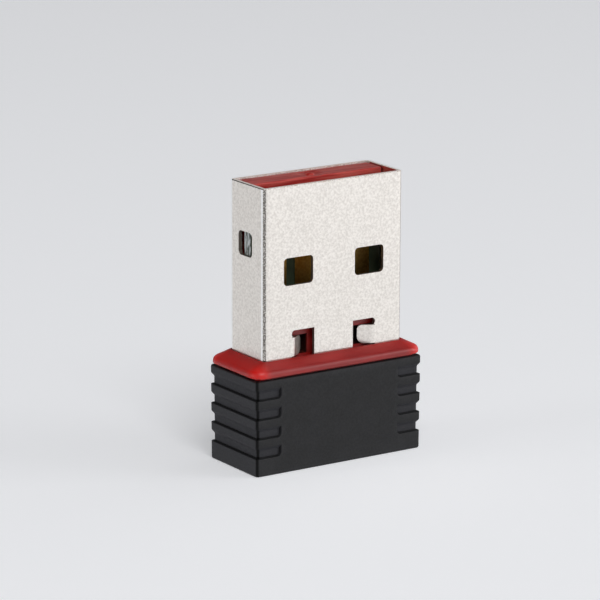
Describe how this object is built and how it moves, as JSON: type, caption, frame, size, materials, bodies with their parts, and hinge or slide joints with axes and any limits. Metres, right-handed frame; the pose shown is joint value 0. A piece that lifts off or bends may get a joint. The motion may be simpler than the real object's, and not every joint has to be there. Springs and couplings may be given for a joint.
{
  "type": "usb wifi adapter",
  "caption": "Stub-sized USB wireless adapter: folded steel plug shell on a red plastic carrier, with a ribbed black end housing around a full-length circuit board.",
  "frame": {"origin": "centre of the black housing's flat closed end", "axes": "+Z along the adapter towards the tip of the plug, +X across the plug's wide side, -Y out of the plug's open side, where the contacts face"},
  "size_m": [0.0146, 0.0064, 0.0208],
  "materials": {
    "black_plastic": "moulded ABS, fine even grain, nearly matte",
    "red_plastic": "moulded PBT, smooth, half gloss",
    "plated_steel": "nickel-plated sheet steel, satin with a fine pebbled grain",
    "board_laminate": "glass-epoxy laminate with green solder mask, raw pale routed edge",
    "gold_plating": "gold-plated copper foil",
    "chip_resin": "black moulded epoxy",
    "tinned_copper": "tin-plated copper",
    "chip_ceramic": "white alumina ceramic",
    "capacitor_ceramic": "tan barium titanate ceramic",
    "ferrite": "dark grey sintered ferrite",
    "crystal_metal": "seam-welded nickel alloy lid"
  },
  "bodies": {
    "root": {"housing": "black_plastic", "carrier": "red_plastic", "usb_shell": "plated_steel", "circuit_board": "board_laminate", "contact_power": "gold_plating", "contact_data_minus": "gold_plating", "contact_data_plus": "gold_plating", "contact_ground": "gold_plating", "antenna_trace": "gold_plating", "wifi_chip": "chip_resin", "wifi_chip_leads": "tinned_copper", "crystal_base": "chip_ceramic", "crystal_lid": "crystal_metal", "regulator_body": "chip_resin", "regulator_pins": "tinned_copper", "choke_core": "ferrite", "choke_caps": "tinned_copper", "capacitor_bodies": "capacitor_ceramic", "capacitor_caps": "tinned_copper", "resistor_bodies": "chip_resin", "resistor_caps": "tinned_copper", "matching_coil_bodies": "chip_ceramic", "matching_coil_caps": "tinned_copper"}
  },
  "joints": []
}
